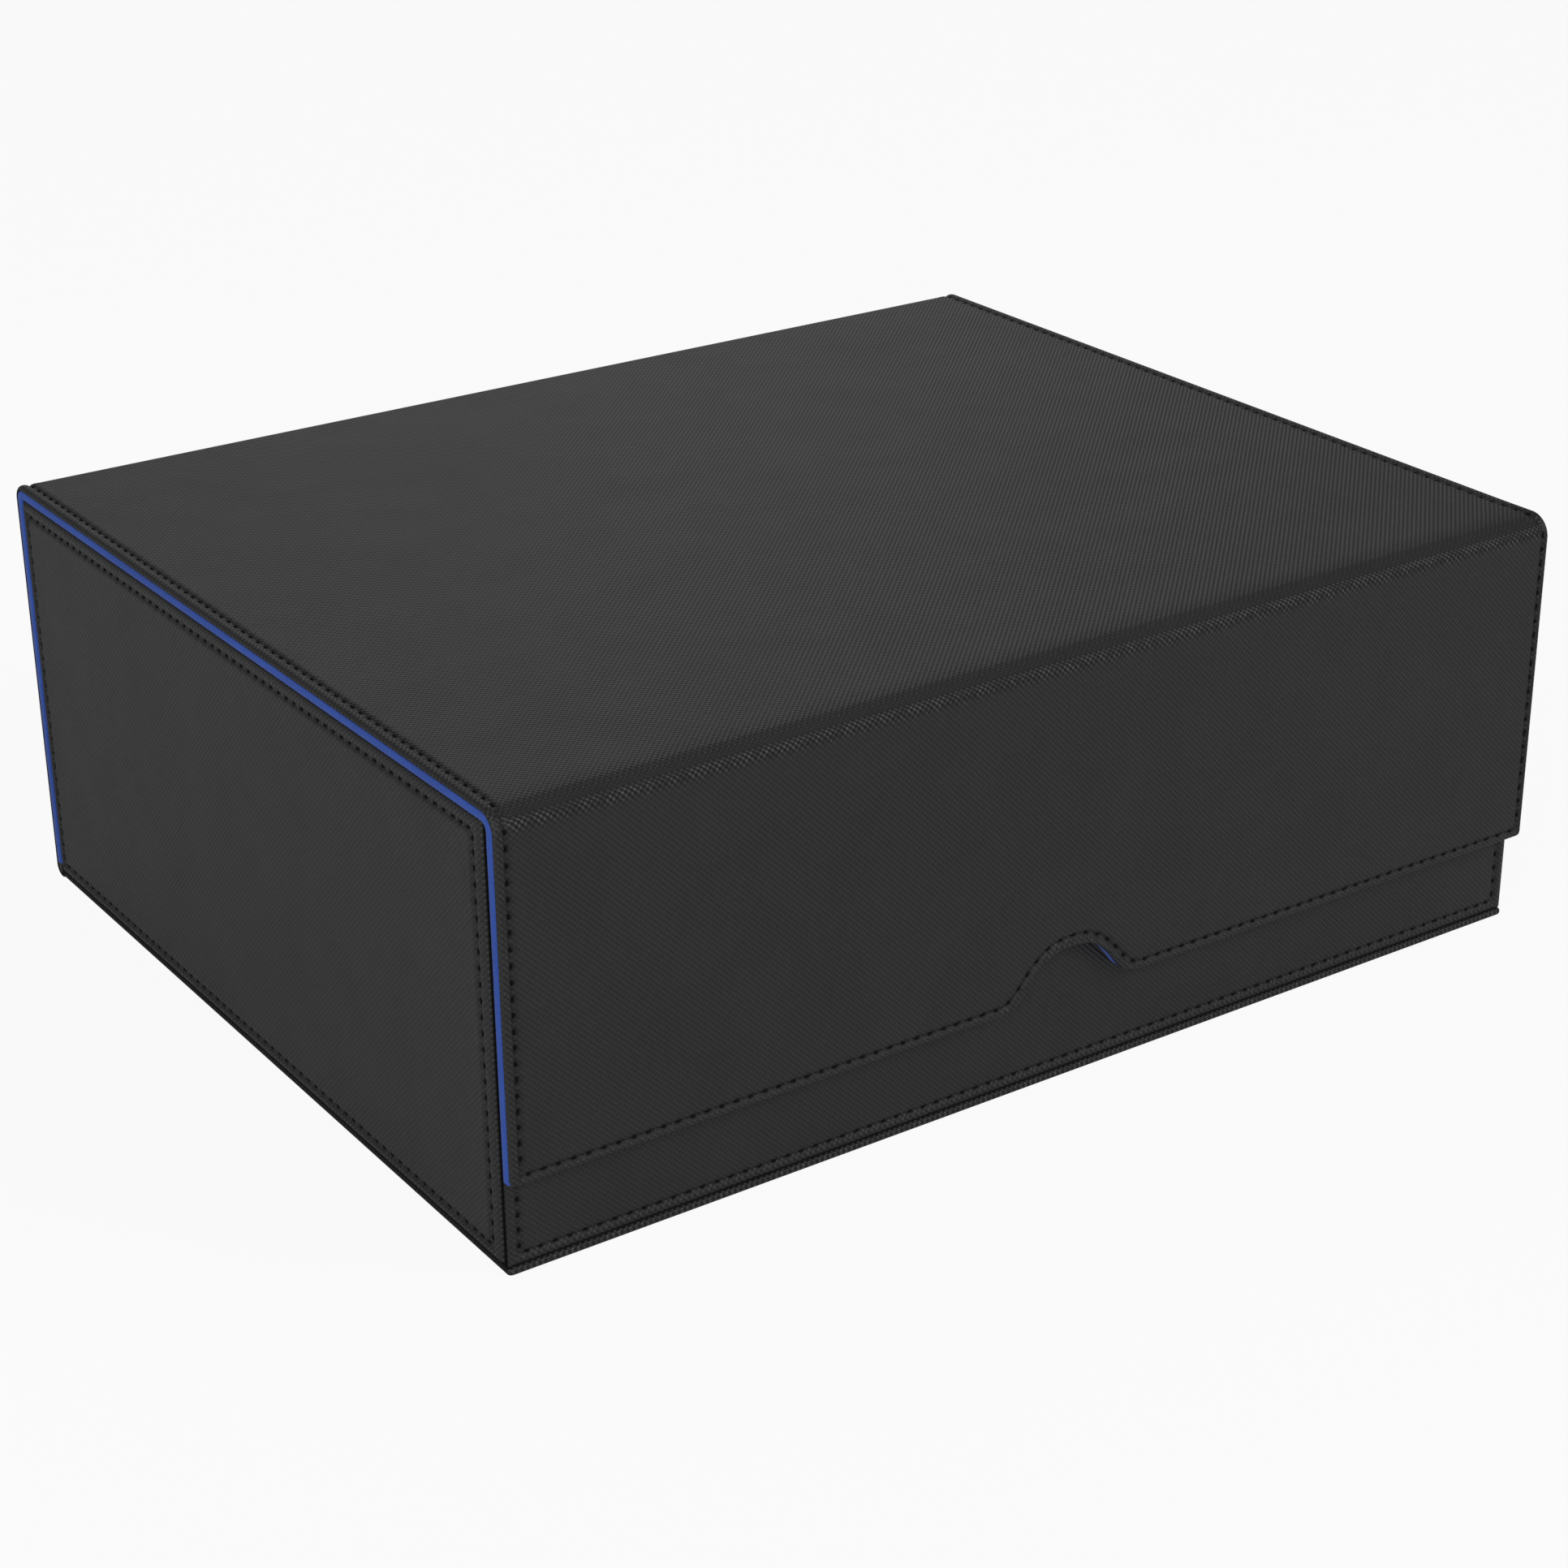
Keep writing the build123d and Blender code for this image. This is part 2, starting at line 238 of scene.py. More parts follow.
def trim(bm, place, keep_front):
    """Cut off the sheet beyond a place along the wrap, and close the cut."""
    cut = bmesh.ops.bisect_plane(bm, geom=bm.verts[:] + bm.edges[:] + bm.faces[:], dist=1e-4,
                                 plane_co=(0, place, 0), plane_no=(0, 1, 0),
                                 clear_outer=keep_front, clear_inner=not keep_front)
    edges = [e for e in cut["geom_cut"] if isinstance(e, bmesh.types.BMEdge)]
    bmesh.ops.edgeloop_fill(bm, edges=edges)


def evenly(start, end, step):
    """Places from start to end, about a step apart."""
    count = max(1, round(abs(end - start) / step))
    return [start + (end - start) * k / count for k in range(count + 1)]


def round_corner(bm, u, w, radius):
    """Round one outer corner of a sheet by drawing its points in to an arc."""
    across = 1 if u > 0 else -1
    centre = Vector((u - across * radius, w + radius))
    for v in bm.verts:
        out = Vector((v.co.x, v.co.y)) - centre
        if out.x * across > 0 and out.y < 0:
            reach = max(abs(out.x), abs(out.y))
            out = out * (reach / out.length)
            v.co.x, v.co.y = centre.x + out.x, centre.y + out.y


def dimple(bm, stitches):
    """Press the sheet's face in at each stitch, and note how much."""
    lowest_face = -0.5  # what lies deeper is the sheet's edge or its back
    pressed = bm.verts.layers.float.new("pressed")
    tree = KDTree(len(stitches))
    for number, (spot, _) in enumerate(stitches):
        tree.insert((spot.x, spot.y, 0), number)
    tree.balance()
    for v in bm.verts:
        if v.co.z > lowest_face:
            distance = tree.find((v.co.x, v.co.y, 0))[2]
            if distance < 4 * dimple_reach:
                v[pressed] = hill(distance, dimple_reach, dimple_reach)
                v.co.z -= dimple_depth * v[pressed]


def map_weave(bm, turned=False, fold=1000.0):
    """Lay the weave on the flat sheet, one unit of the map for each repeat, mirrored at a fold.

    The fold is left far beyond the sheet where the weave isn't mirrored.
    """
    layer = bm.loops.layers.uv.new("weave")
    for face in bm.faces:
        for loop in face.loops:
            u, w = loop.vert.co.x / weave_period, (fold - abs(loop.vert.co.y - fold)) / weave_period
            loop[layer].uv = (-w, u) if turned else (u, w)


def lay(bm, place):
    """Note where the flat sheet gets a painted highlight, being raised, or painted shade, lying in a seam or
    beside a stitch, and carry its points to the box.
    """
    painted_light, pressed = bm.verts.layers.float.new("painted_light"), bm.verts.layers.float.get("pressed")
    for v in bm.verts:
        sunk = stitch_shade * v[pressed] if pressed else 0
        v[painted_light] = ease(v.co.z, *highlight_heights) - max(sunk, ease(-v.co.z, *seam_depths))
        v.co = place(*v.co)


def finished(bm, name, finish):
    """Make the piece, in metres, smooth except where it turns sharply."""
    material, slot = finish
    sharp = radians(55)
    bmesh.ops.scale(bm, vec=(mm, mm, mm), verts=bm.verts[:])
    bmesh.ops.recalc_face_normals(bm, faces=bm.faces[:])
    for face in bm.faces:
        face.smooth = True
    for edge in bm.edges:
        if len(edge.link_faces) == 2 and edge.calc_face_angle() > sharp:
            edge.smooth = False
    mesh = bpy.data.meshes.new(name)
    bm.to_mesh(mesh)
    bm.free()
    mesh.materials.append(material)
    piece = bpy.data.objects.new(name, mesh)
    bpy.context.scene.collection.objects.link(piece)
    return piece


# Materials
def feed(tree, node, inputs):
    """Give a node's inputs plain values or the outputs of other nodes."""
    for name, value in inputs.items():
        if isinstance(value, bpy.types.NodeSocket):
            tree.links.new(value, node.inputs[name])
        else:
            node.inputs[name].default_value = value


def add(tree, kind, inputs=None, **settings):
    """A shader node with its settings and its inputs."""
    node = tree.nodes.new("ShaderNode" + kind)
    for name, value in settings.items():
        setattr(node, name, value)
    feed(tree, node, inputs or {})
    return node


def maths(tree, operation, first, second=0.0, third=0.0):
    """The result of one Math node."""
    return add(tree, "Math", {0: first, 1: second, 2: third}, operation=operation).outputs[0]


def blend_colours(tree, factor, first, second):
    """The result of mixing two colours."""
    return add(tree, "Mix", {0: factor, 6: first, 7: second}, data_type="RGBA").outputs[2]


def rescaled(tree, value, low, high, new_low, new_high):
    """A value carried from one range to another and kept inside it."""
    return add(tree, "MapRange", {0: value, 1: low, 2: high, 3: new_low, 4: new_high}).outputs[0]


def noise(tree, solid, scale, detail, distortion=0.0):
    """Soft noise through the solid, from 0 to 1."""
    return add(tree, "TexNoise", {"Vector": solid, "Scale": scale, "Detail": detail,
                                  "Distortion": distortion}).outputs[0]


def relief(tree, strength, distance, height, **below):
    """Small relief on the surface, over the relief that lies below it."""
    return add(tree, "Bump", {"Strength": strength, "Distance": distance, "Height": height,
                              **below}).outputs[0]


def new_material(name):
    """A material with its node tree, its surface shader and the coordinates of the solid."""
    material = bpy.data.materials.new(name)
    material.use_nodes = True
    tree = material.node_tree
    solid = add(tree, "TexCoord").outputs["Object"]
    return material, tree, tree.nodes["Principled BSDF"], solid


def colour(red, green, blue):
    """An opaque colour."""
    return (red, green, blue, 1.0)


def weave_cells(tree, across, along):
    """Raised and sunk threads, from -1 to 1: strong ribs on one diagonal, crossed by faint ones."""
    rising = maths(tree, "MULTIPLY", maths(tree, "ADD", across, along), 2 * pi)
    falling = maths(tree, "MULTIPLY", maths(tree, "SUBTRACT", across, along), 2 * pi)
    gaps = maths(tree, "MULTIPLY", maths(tree, "COSINE", falling), gap_share)
    pattern = maths(tree, "MULTIPLY_ADD", maths(tree, "COSINE", rising), -rib_share, gaps)
    return maths(tree, "TANH", pattern)


def leather(name):
    """Black synthetic leather with a fine woven emboss, with painted highlights on the high threads of its
    raised ridges and painted shade in the weave's gaps, in seams and beside stitches.
    """
    material, tree, shader, solid = new_material(name)
    # The darker weave colour is painted shade in the sunk gaps, the near-black one is painted shade for
    # seams, grooves and stitches, and the light one is a painted highlight on raised threads.
    shaded_gap_colour, thread_colour = colour(0.0065, 0.0066, 0.0071), colour(0.028, 0.0281, 0.0288)
    highlight_colour, shade_colour = colour(0.08, 0.08, 0.082), colour(0.0015, 0.0015, 0.0016)
    flat = add(tree, "SeparateXYZ", {0: add(tree, "UVMap", uv_map="weave").outputs[0]})
    cells = weave_cells(tree, flat.outputs[0], flat.outputs[1])
    waves = noise(tree, solid, 22.0, 2.0)
    grain = noise(tree, solid, 2600.0, 2.0)
    patches = noise(tree, solid, 60.0, 3.0)
    spots = noise(tree, solid, 450.0, 2.0)

    raised = rescaled(tree, cells, -1.0, 1.0, 0.0, 1.0)
    # Painted shade in the weave's sunk gaps, mixed with random patches of tone.
    patches_and_threads = maths(tree, "MULTIPLY_ADD", patches, 0.3, maths(tree, "MULTIPLY", raised, 0.7))
    weave_tone_with_gap_shade = blend_colours(tree, patches_and_threads, shaded_gap_colour, thread_colour)
    # Per-point painted light: above zero a painted highlight, below zero painted shade.
    painted_light = add(tree, "Attribute", attribute_name="painted_light").outputs["Fac"]
    uneven = rescaled(tree, spots, 0.4, 0.6, 0.05, 1.0)
    dots = rescaled(tree, cells, 0.0, 0.7, 0.0, 1.0)
    # Painted highlight on the high threads where the leather is raised, in uneven spots.
    risen = maths(tree, "MAXIMUM", painted_light, 0.0)
    ridge_highlight = maths(tree, "MULTIPLY", maths(tree, "MULTIPLY", risen, dots), uneven)
    # Painted shade in the weave's gaps on raised leather, and in seams, grooves and beside stitches; it also
    # lowers the gloss.
    ridge_gap_shade = maths(tree, "MULTIPLY", risen, maths(tree, "MULTIPLY_ADD", raised, -0.6, 0.6))
    painted_shade = maths(tree, "MAXIMUM", maths(tree, "MULTIPLY", painted_light, -1.0), ridge_gap_shade)
    with_highlights = blend_colours(tree, ridge_highlight, weave_tone_with_gap_shade, highlight_colour)
    polish = maths(tree, "SUBTRACT", maths(tree, "MULTIPLY_ADD", ridge_highlight, 0.6, patches_and_threads), painted_shade)

    broad = relief(tree, 0.5, 0.0012, waves)
    fine = relief(tree, 0.35, 0.00004, grain, Normal=broad)
    feed(tree, shader, {
        "Base Color": blend_colours(tree, painted_shade, with_highlights, shade_colour),
        "Roughness": rescaled(tree, polish, -1.0, 1.0, 0.68, 0.36),
        "Specular IOR Level": maths(tree, "MULTIPLY_ADD", painted_shade, -0.29, 0.33),
        "Normal": relief(tree, 1.0, 0.0001, cells, Normal=fine)})
    return material


def microfibre(name):
    """Blue short-pile microfibre, brushed a little lighter and darker in patches."""
    material, tree, shader, solid = new_material(name)
    dark_blue, light_blue = colour(0.0245, 0.06, 0.272), colour(0.045, 0.108, 0.462)
    nap = noise(tree, solid, 900.0, 4.0)
    brushed = noise(tree, solid, 45.0, 3.0, distortion=0.6)
    shade = maths(tree, "MULTIPLY_ADD", brushed, 0.75, maths(tree, "MULTIPLY", nap, 0.25))
    feed(tree, shader, {
        "Base Color": blend_colours(tree, shade, dark_blue, light_blue),
        "Roughness": 0.95, "Specular IOR Level": 0.1, "Sheen Weight": 0.1, "Sheen Roughness": 0.5,
        "Normal": relief(tree, 0.6, 0.00025, nap)})
    return material


def thread(name):
    """Black twisted polyester thread."""
    material, tree, shader, solid = new_material(name)
    plies = noise(tree, solid, 3500.0, 1.0)
    feed(tree, shader, {
        "Base Color": blend_colours(tree, plies, colour(0.003, 0.003, 0.0032), colour(0.009, 0.009, 0.0095)),
        "Roughness": 0.75, "Specular IOR Level": 0.06,
        "Normal": relief(tree, 0.5, 0.0001, plies)})
    return material


def greyboard(name):
    """Hidden bookbinder's board with short fibres."""
    material, tree, shader, solid = new_material(name)
    fibres = noise(tree, solid, 700.0, 5.0)
    feed(tree, shader, {
        "Base Color": blend_colours(tree, fibres, colour(0.2, 0.185, 0.165), colour(0.4, 0.375, 0.335)),
        "Roughness": 0.95})
    return material


def plated_steel(name):
    """Nickel-plated magnet disc, faintly brushed."""
    material, tree, shader, solid = new_material(name)
    brushing = noise(tree, solid, 1500.0, 2.0)
    feed(tree, shader, {"Base Color": colour(0.6, 0.6, 0.6), "Metallic": 1.0,
                        "Roughness": rescaled(tree, brushing, 0.0, 1.0, 0.25, 0.4)})
    return material


black_leather = leather("black_leather")
blue_microfibre = microfibre("blue_microfibre")
black_thread = thread("black_thread")
grey_board = greyboard("grey_board")
magnet_steel = plated_steel("magnet_steel")

# Each dressed piece's material and its slot
leather_finish = (black_leather, "embossed_leather")
cloth_finish = (blue_microfibre, "microfibre")
thread_finish = (black_thread, "embossed_leather")

for name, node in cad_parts.items():
    if name.endswith("_skin"):
        material = black_leather
    elif name.endswith("_board"):
        material = grey_board
    elif name.endswith("_magnets"):
        material = magnet_steel
    else:
        material = blue_microfibre
    node.data.materials.clear()
    node.data.materials.append(material)


# Stitches, each a place on the flat sheet and the direction that it runs in
def straight_row(start, end):
    """Stitches along a straight line, with whole stitches at both ends."""
    start, end = Vector(start), Vector(end)
    run = end - start
    count = max(1, round(run.length / stitch_pitch))
    return [(start + run * ((k + 0.5) / count), run.normalized()) for k in range(count)]


def path_row(points):
    """Stitches along a path of many points, an even distance apart."""
    lengths = [(b - a).length for a, b in zip(points, points[1:])]
    count = round(sum(lengths) / stitch_pitch)
    row, passed, k = [], 0.0, 0
    for (a, b), length in zip(zip(points, points[1:]), lengths):
        while k < count and (k + 0.5) * sum(lengths) / count <= passed + length:
            part = ((k + 0.5) * sum(lengths) / count - passed) / length
            row.append((a.lerp(b, part), (b - a).normalized()))
            k += 1
        passed += length
    return row


def rectangle_rows(low_u, high_u, low_w, high_w):
    """Four rows of stitches round a panel."""
    corners = [(low_u, low_w), (high_u, low_w), (high_u, high_w), (low_u, high_w)]
    return [s for a, b in zip(corners, corners[1:] + corners[:1]) for s in straight_row(a, b)]


def notch_path():
    """The stitch line along the flap's lower edge and round its notch, from left to right."""
    bm = bmesh.new()
    face = outline(bm, front_corners, 0)
    bmesh.ops.inset_region(bm, faces=[face], thickness=cover_stitch_inset, use_boundary=True,
                           use_even_offset=True)
    ring = [loop.vert.co.xy for loop in face.loops]
    bm.free()
    first = min(range(len(ring)), key=lambda k: (round(ring[k].y, 2), ring[k].x))
    ring = ring[first:] + ring[:first]
    last = max(range(len(ring)), key=lambda k: (-round(ring[k].y, 2), ring[k].x))
    return ring[:last + 1]


spare = 20.0  # length that a sheet is cut too long by, so that no rolled edge is left at a join
notch_top = (notch_middle, flap_end + notch_depth + 0.3)  # the curve passes a little below it
one_side = [(notch_middle - reach, flap_end + height) for reach, height in notch_controls]
other_side = [(notch_middle + reach, flap_end + height) for reach, height in reversed(notch_controls)]
notch_edge = softened(one_side + [notch_top] + other_side, 8)
front_corners = ([(-half_width, spare), (-half_width, flap_end)] + notch_edge
                 + [(half_width, flap_end), (half_width, spare)])
back_corners = [(-half_width, sheet_end + spare), (-half_width, -spare),
                (half_width, -spare), (half_width, sheet_end + spare)]

fold_margin = 1.2  # the rows run this far into the folds
stitch_line = half_width - cover_stitch_inset
row_start = flap_top + 0.94  # the stitch on the flap that is next to the front fold
corner_gap = 1.5  # between the flap's lower row and the first stitch above it
edge_rows = []
for side in (-stitch_line, stitch_line):
    for number in range(-40, 110):
        spot = row_start + number * stitch_pitch
        on_flap = flap_end + cover_stitch_inset + corner_gap < spot < flap_top + fold_margin
        on_lid = lid_front - fold_margin < spot < lid_back + fold_margin
        on_back = back_top - fold_margin < spot < foot_top
        if on_flap or on_lid or on_back:
            edge_rows.append((Vector((side, spot)), Vector((0, -1))))
cover_rows = edge_rows + path_row(notch_path())

side_low, side_high = -tray_back, -corner_seam
side_rows = rectangle_rows(side_low + panel_stitch_inset, side_high - panel_stitch_inset,
                           base_top + panel_stitch_inset, rim_height - panel_stitch_inset)
front_rows = rectangle_rows(panel_stitch_inset - tray_side, tray_side - panel_stitch_inset,
                            base_top + panel_stitch_inset, rim_height - panel_stitch_inset)


# How far the sewn line strays inwards on the flap and on the lid, at either side of the box
left_stray, right_stray = (0.3, 0.75), (-0.9, 0.45)
back_share = 0.2  # how much of the lid's stray is left on the back panel
notch_rise, edge_drop = 0.7, 0.55  # the sewn line is higher over the notch and lower beside it
notch_half_width, row_width = 8, 2.2


def wander(u, w):
    """Where a point of the flat cover goes as its sewn line strays from a straight course."""
    on_flap, on_lid = right_stray if u > 0 else left_stray
    stray = on_flap + (on_lid - on_flap) * ease(w, flap_top, lid_front + 12)
    stray *= 1 - (1 - back_share) * ease(w, lid_back, back_top)
    inwards = stray * with_row(half_width - abs(u), cover_stitch_inset, 11)
    over_notch = hill(u - notch_middle, notch_half_width, notch_half_width)
    from_row = w - flap_end - cover_stitch_inset
    rise = (notch_rise * over_notch * hill(from_row - notch_depth, row_width, row_width)
            - edge_drop * (1 - over_notch) * hill(from_row, row_width, row_width))
    return (u - inwards if u > 0 else u + inwards), w + rise


# The valley behind the front fold and the fold's crown: place along the wrap, how far the cover
# sinks or rises there, and the widths towards the flap and towards the lid
valley_place, valley_depth, valley_widths = -121.6, 0.75, (1.2, 4.2)
crown_place, crown_height, crown_widths = -124.8, 0.38, (2.2, 1.2)


def crease(u, w):
    """The cover sinks into a valley behind the front fold, and the fold's crown stands out."""
    inside = ease(half_width - abs(u), 0.5, 5)
    valley = hill(w - valley_place, *valley_widths) * (0.8 + 0.2 * u / half_width)
    crown = hill(w - crown_place, *crown_widths)
    return (crown_height * crown - valley_depth * valley) * inside


def sheet(corners, roll, thickness, chamfer, spacing=dimple_spacing):
    """A closed flat sheet, with a rolled front face and a small chamfer round its back."""
    bm = bmesh.new()
    bottom = outline(bm, corners, chamfer - thickness)
    raised = bmesh.ops.extrude_face_region(bm, geom=[bottom], use_keep_orig=True)
    top_face = next(f for f in raised["geom"] if isinstance(f, bmesh.types.BMFace))
    bmesh.ops.translate(bm, verts=top_face.verts[:], vec=(0, 0, thickness - chamfer + roll[0][1]))
    bmesh.ops.reverse_faces(bm, faces=[bottom])
    bmesh.ops.inset_region(bm, faces=[bottom], thickness=chamfer, use_even_offset=True)
    bmesh.ops.translate(bm, verts=bottom.verts[:], vec=(0, 0, -chamfer))
    roll_edge(bm, top_face, roll)
    edges = [e for e in bottom.edges if e.calc_length() < box_width - 2]
    bmesh.ops.delete(bm, geom=[top_face, bottom], context="FACES_ONLY")
    cut_sectors(bm, edges, len(roll) + 1, spacing)
    bmesh.ops.edgeloop_fill(bm, edges=[e for e in bm.edges if e.is_boundary])
    return bm


front_lines = (evenly(lid_front + 14, lid_front + 1, 1.0) + evenly(lid_front, flap_top, 0.3)
               + evenly(flap_top - 1, flap_top - 6, 1.0))
back_lines = (evenly(lid_back - 8, lid_back - 1, 1.0) + evenly(lid_back, back_top, 0.42)
              + evenly(back_top + 1, back_top + 8, 1.0) + evenly(foot_top, foot_end, 0.5))
front_crease = (flap_top + lid_front) / 2
lining_end = back_top + box_height - rear_fold_radius - foot_height
flap_fullness = 0.35  # the flap's lining is fuller than the lid's, which rests on the rim
lining_middle = -1.2  # depth that parts the lining's open face from its glued one

# Rolled edge, thickness, chamfer at the back, radius of the flap's corners, place and finish
leather_layer = (cover_roll, cover_skin, 0.28, 1.3, cover_place, leather_finish)
lining_layer = (lining_roll, cover_thickness - cover_skin, 0.12, 0.2, lining_place, cloth_finish)


def cover_piece(name, layer, is_front, end=None):
    """The front or the back half of the cover's leather or of its lining, laid on the box."""
    roll, thickness, chamfer, corner_radius, place, finish = layer
    is_leather = layer is leather_layer
    corners, fold_lines = (front_corners, front_lines) if is_front else (back_corners, back_lines)
    bm = sheet(corners, roll, thickness, chamfer)
    cut_lines(bm, fold_lines)
    if is_leather:
        dimple(bm, cover_rows)
        for v in bm.verts:
            v.co.z += crease(v.co.x, v.co.y) * ease(v.co.z, -thickness, 0)
    else:
        for v in bm.verts:
            if v.co.z > lining_middle:
                v.co.z += flap_fullness * (1 - ease(v.co.y, flap_top - 2, lid_front))
    for v in bm.verts:
        v.co.x, v.co.y = wander(v.co.x, v.co.y)
    if is_front:
        for side in (-half_width, half_width):
            round_corner(bm, side, flap_end, corner_radius)
    trim(bm, 0, keep_front=is_front)
    if end:
        trim(bm, end, keep_front=True)
    if is_leather:
        map_weave(bm, fold=front_crease)
    lay(bm, place)
    return finished(bm, name, finish)


front_leather = cover_piece("cover_leather_front", leather_layer, is_front=True)
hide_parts("lid_skin", "flap_skin")
back_leather = cover_piece("cover_leather_back", leather_layer, is_front=False, end=sheet_end)
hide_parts("back_panel_skin", "lid_skin")
front_lining = cover_piece("cover_lining_front", lining_layer, is_front=True)
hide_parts("lid_lining", "flap_lining")
back_lining = cover_piece("cover_lining_back", lining_layer, is_front=False, end=lining_end)
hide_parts("back_panel_lining", "lid_lining")


# The cover bends at its two folds as the lid and the flap turn: the leather over the whole outer
# bend, and the lining, which goes round the outside of the opened fold, over the tight inner one.
# The turning body is named first: at half a turn the other order bends the fold the wrong way.
def bend_at_front_fold(piece, reach):
    """The piece goes round the fold between the lid and the flap."""
    y, z = front_pivot
    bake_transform(piece, "flap", "lid", start=(0, (y - reach) * mm, (z - reach) * mm),
             end=(0, (y + reach) * mm, (z + reach) * mm))


def bend_at_rear_fold(piece, reach):
    """The piece goes round the fold between the back panel and the lid."""
    y, z = rear_pivot
    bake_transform(piece, "lid", "tray", start=(0, (y - reach) * mm, (z + reach) * mm),
             end=(0, (y + reach) * mm, (z - reach) * mm))


front_leather_bend, front_lining_bend = 2.75, 0.5
rear_leather_bend, rear_lining_bend = 2.0, 0.35
bend_at_front_fold(front_leather, front_leather_bend)
bend_at_front_fold(front_lining, front_lining_bend)
bend_at_rear_fold(back_leather, rear_leather_bend)
bend_at_rear_fold(back_lining, rear_lining_bend)

# The leather that fills the turned-in foot of the back panel
foot_low, foot_roll_width, foot_roll_radius = 1.1, box_width - 0.3, 1.4
foot_front, foot_back = tray_back, half_depth - cover_skin + 0.1
bm = bmesh.new()
bmesh.ops.create_cube(bm, size=1.0, matrix=Matrix.Translation(
    (0, (foot_front + foot_back) / 2, (foot_low + foot_height) / 2))
    @ Matrix.Diagonal((foot_roll_width, foot_back - foot_front, foot_height - foot_low, 1)))
lower = [e for e in bm.edges if all(v.co.y > foot_front + 1 and v.co.z < foot_low + 1 for v in e.verts)]
bmesh.ops.bevel(bm, geom=lower, offset=foot_roll_radius, offset_type="OFFSET", segments=4,
                profile=0.5, affect="EDGES", material=-1)
map_weave(bm)
foot_roll = finished(bm, "foot_roll", leather_finish)
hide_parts("back_panel_skin")
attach(foot_roll, "tray")


def stretch(place, low, high, low_shift, high_shift):
    """Draw the sewn line away from each end of a panel, and leave the ends where they are."""
    moved = place
    for reach, shift, way in ((place - low, low_shift, 1), (high - place, high_shift, -1)):
        moved += way * shift * with_row(reach, panel_stitch_inset, 12)
    return moved


def side_stretch(u, w):
    """The side panels' sewn lines lie further in at the rim and at the front."""
    return (stretch(u, side_low, side_high, -0.6, 1.4),
            stretch(w, base_top, rim_height, 0.0, 1.0))


def front_stretch(u, w):
    """The front panel's upright rows lie a little further in."""
    return stretch(u, -tray_side, tray_side, 0.7, 0.7), w


def grow(bm, edges, steps):
    """Grow a strip from a row of edges, one face wide for each step."""
    for step in steps:
        grown = bmesh.ops.extrude_edge_only(bm, edges=edges)["geom"]
        edges = [e for e in grown if isinstance(e, bmesh.types.BMEdge)]
        bmesh.ops.translate(bm, verts=[v for v in grown if isinstance(v, bmesh.types.BMVert)],
                            vec=step)


panel_thickness = 0.75
rim_turn = [(0, 0, 2 * rim_radius + inner_side - tray_side), (0, -0.26, -0.64), (0, -0.64, -0.26)]
corner_turn = [(0.06, 0.12), (0.3, 0.1), (0.54, 0.03), (0, 1.6)]  # steps sideways and backwards


def wall_panel(low_u, high_u, stitches, moved, is_front):
    """A wall's stitched leather, turned over the rim and, on the front, round both corners."""
    bm = bmesh.new()
    face = outline(bm, [(low_u, base_top), (high_u, base_top), (high_u, rim_height),
                        (low_u, rim_height)], panel_roll[0][1])
    roll_edge(bm, face, panel_roll)
    edges = [e for e in bm.edges if e.is_boundary]
    bmesh.ops.delete(bm, geom=[face], context="FACES_ONLY")
    cut_sectors(bm, edges, len(panel_roll) - 1, dimple_spacing)
    bmesh.ops.edgeloop_fill(bm, edges=[e for e in bm.edges if e.is_boundary
                                       and all(v.co.z > -0.01 for v in e.verts)])
    if is_front:
        cut_lines(bm, (-inner_side, inner_side), axis=0)
    dimple(bm, stitches)
    for v in bm.verts:
        v.co.x, v.co.y = moved(v.co.x, v.co.y)
    border = [e for e in bm.edges if e.is_boundary]
    rim = [e for e in border if all(v.co.y > rim_height - 0.01 and
                                    (not is_front or abs(v.co.x) < inner_side + 0.01) for v in e.verts)]
    grow(bm, rim, rim_turn)
    if is_front:
        for side in (-1, 1):
            ends = [e for e in border if all(v.co.x * side > tray_side - 0.01 for v in e.verts)]
            grow(bm, ends, [(-inwards * side, 0, -back) for inwards, back in corner_turn])
    bmesh.ops.recalc_face_normals(bm, faces=bm.faces[:])
    bmesh.ops.solidify(bm, geom=bm.faces[:], thickness=panel_thickness)
    return bm


def side_panel(name, place, mirrored):
    """One side wall's leather, whose front end is at the same end of the box on either side."""
    bm = wall_panel(side_low, side_high, side_rows, side_stretch, is_front=False)
    if mirrored:
        for v in bm.verts:
            v.co.x = -v.co.x
    map_weave(bm, turned=True)
    lay(bm, place)
    return finished(bm, name, leather_finish)


left_panel = side_panel("side_panel_left", left_place, mirrored=False)
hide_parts("left_wall_skin")
right_panel = side_panel("side_panel_right", right_place, mirrored=True)
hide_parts("right_wall_skin")

bm = wall_panel(-tray_side, tray_side, front_rows, front_stretch, is_front=True)
map_weave(bm)
lay(bm, front_place)
painted_light = bm.verts.layers.float["painted_light"]
for v in bm.verts:
    if v.co.y > tray_front + 0.2 and abs(v.co.x) > tray_side - 1:
        v[painted_light] = -1.0  # painted shade on the returns round the corners and in the seam where it meets the side panels
front_panel = finished(bm, "front_panel", leather_finish)
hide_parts("front_wall_skin")

# The leather under the box, which ends in a bead round the base board
base_bead = 0.6  # it stands out further than the front panel
base_corner_radius, base_thickness, base_facet = 1.2, 0.7, 4.0
